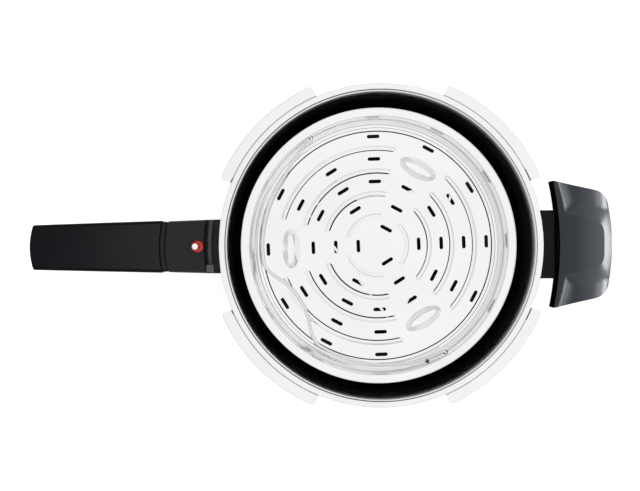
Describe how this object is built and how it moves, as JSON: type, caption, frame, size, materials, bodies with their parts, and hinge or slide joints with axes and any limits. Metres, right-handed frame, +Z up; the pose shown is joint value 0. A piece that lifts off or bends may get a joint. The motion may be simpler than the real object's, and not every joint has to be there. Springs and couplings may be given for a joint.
{
  "type": "pressure cooker",
  "caption": "Open round pressure cooker pan with a bayonet rim, a long handle with a lock pin, a helper handle and a perforated steamer basket with a folding bail on a stand.",
  "frame": {"origin": "middle of the underside of the base, on the pan's axis", "axes": "+X towards the helper handle, +Y to the left of it seen from above, +Z up"},
  "size_m": [0.4235, 0.233, 0.132],
  "materials": {
    "pan_steel": "mirror polished",
    "basket_steel": "polished",
    "plain_steel": "plain",
    "stop_steel": "satin",
    "pin_steel": "bright",
    "fastener_steel": "plain",
    "aluminium": "plain",
    "black_plastic": "satin",
    "red_plastic": "gloss"
  },
  "bodies": {
    "pot": {"pot_shell": "pan_steel", "base_cap": "pan_steel", "base_core": "aluminium", "handle_bracket": "plain_steel", "side_bracket": "plain_steel", "lid_stop": "stop_steel", "handle_screw": "fastener_steel", "handle_washer": "fastener_steel", "side_screw_left": "fastener_steel", "side_screw_right": "fastener_steel", "side_washer_left": "fastener_steel", "side_washer_right": "fastener_steel", "handle_guard": "black_plastic", "handle_collar": "black_plastic", "handle_grip": "black_plastic", "side_neck": "black_plastic", "side_grip": "black_plastic", "lock_bush": "red_plastic", "lock_spring": "plain_steel"},
    "lock": {"lock_pin": "pin_steel", "lock_clip": "plain_steel"},
    "basket": {"steamer_basket": "basket_steel"},
    "bail": {"basket_bail": "basket_steel"},
    "stand": {"trivet": "basket_steel"}
  },
  "joints": [
    {"name": "lock_press", "type": "slide", "parent": "pot", "child": "lock", "axis": [0, 0, -1], "range_m": [0, 0.004], "stiffness_N_per_m": 400, "springref_m": -0.001, "deforming": ["lock_spring"]},
    {"name": "basket_lift", "type": "slide", "parent": "pot", "child": "basket", "axis": [0, 0, 1], "range_m": [0, 0.24]},
    {"name": "bail_swing", "type": "hinge", "parent": "basket", "child": "bail", "pos_m": [0, 0, 0.08], "axis": [-0.527, 0.8499, 0], "range_deg": [0, 207]},
    {"name": "trivet_lift", "type": "slide", "parent": "pot", "child": "stand", "axis": [0, 0, 1], "range_m": [0, 0.135]}
  ],
  "couplings": [
    {"joint": "trivet_lift", "follows": "basket_lift", "ratio": 0.55}
  ]
}
